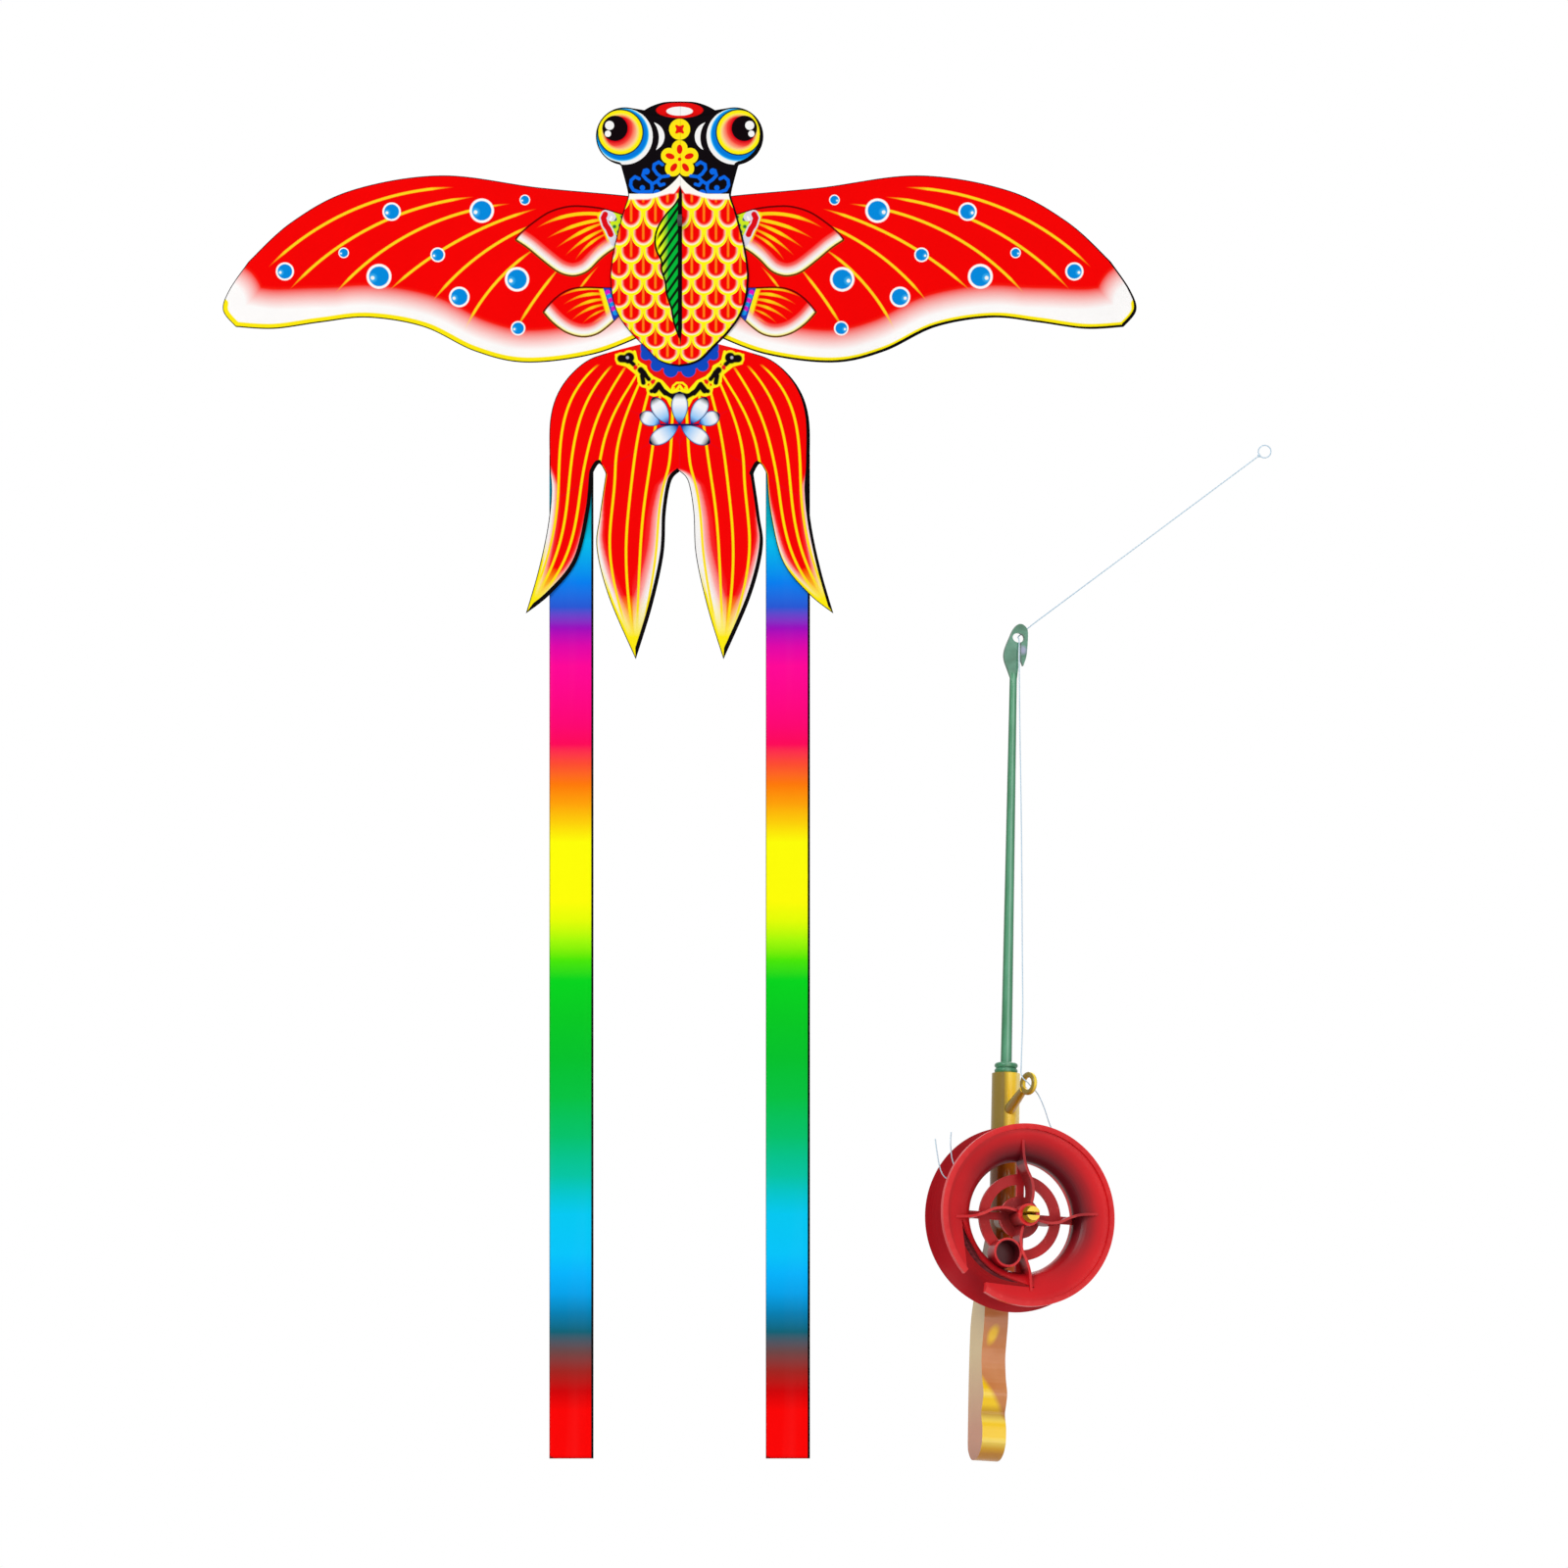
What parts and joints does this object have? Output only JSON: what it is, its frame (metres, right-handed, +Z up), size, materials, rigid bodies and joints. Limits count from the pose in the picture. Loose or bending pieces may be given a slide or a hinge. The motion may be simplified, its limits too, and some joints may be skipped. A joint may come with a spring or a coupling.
{
  "type": "kite with rod winder",
  "caption": "Goldfish-shaped cloth kite on thin rods with two hinged ribbon streamers, and a rod-style hand winder with a spinning reel and led-out line.",
  "frame": {"origin": "centre of the tow eye in front of the kite's spine", "axes": "+Z up along the spine towards the head, +X to the right seen from the printed side, -Y towards the flyer (the printed side)"},
  "size_m": [0.4296, 0.0839, 0.5555],
  "materials": {
    "body_cloth": "printed polyester weave: head in black, scales in red and yellow",
    "fin_cloth": "printed polyester weave: red with yellow fin rays and white edges",
    "ribbon": "printed polyester ribbon, rainbow down its length",
    "hem_tape": "plain red woven tape, sewn",
    "webbing": "black woven pocket cloth",
    "glass_rod": "pultruded glass fibre rod, satin",
    "black_plastic": "moulded, slightly rough",
    "yellow_plastic": "injection moulded, glossy, slightly translucent",
    "red_plastic": "injection moulded, satin",
    "green_plastic": "clear green moulded plastic",
    "line": "white twisted polyester line"
  },
  "bodies": {
    "kite": {"body_panel": "body_cloth", "wing_panel_left": "fin_cloth", "wing_panel_right": "fin_cloth", "tail_fin_panel": "fin_cloth", "spine_rod": "glass_rod", "wing_spar_left": "glass_rod", "wing_spar_right": "glass_rod", "tail_spreader": "glass_rod", "spar_connector": "black_plastic", "tail_clip": "black_plastic", "wing_sleeve_left": "hem_tape", "wing_sleeve_right": "hem_tape", "head_pocket": "webbing", "tail_pocket": "webbing", "wing_tip_pocket_left": "webbing", "wing_tip_pocket_right": "webbing", "spreader_pocket_left": "webbing", "spreader_pocket_right": "webbing", "streamer_tape_left": "hem_tape", "streamer_tape_right": "hem_tape"},
    "streamer_left": {"streamer_left": "ribbon"},
    "streamer_right": {"streamer_right": "ribbon"},
    "winder": {"handle": "yellow_plastic", "rod": "green_plastic", "rod_collar": "green_plastic", "flying_line": "line", "line_loop": "line"},
    "reel": {"reel_front": "red_plastic", "reel_rear": "red_plastic", "line_pack": "line", "line_tag_outer": "line", "line_tag_inner": "line"}
  },
  "joints": [
    {"name": "streamer_left_swing", "type": "hinge", "parent": "kite", "child": "streamer_left", "pos_m": [-0.0442, 0.00365, -0.102], "axis": [1, 0, 0], "range_deg": [0, 85]},
    {"name": "streamer_right_swing", "type": "hinge", "parent": "kite", "child": "streamer_right", "pos_m": [0.0442, 0.00365, -0.102], "axis": [1, 0, 0], "range_deg": [0, 85]},
    {"name": "winder_lift", "type": "slide", "parent": "kite", "child": "winder", "axis": [0, 0, 1], "range_m": [0, 0.2]},
    {"name": "reel_spin", "type": "hinge", "parent": "winder", "child": "reel", "pos_m": [0.13866, -0.01763, -0.40654], "axis": [0.345, -0.9281, 0.1398], "continuous": true}
  ]
}
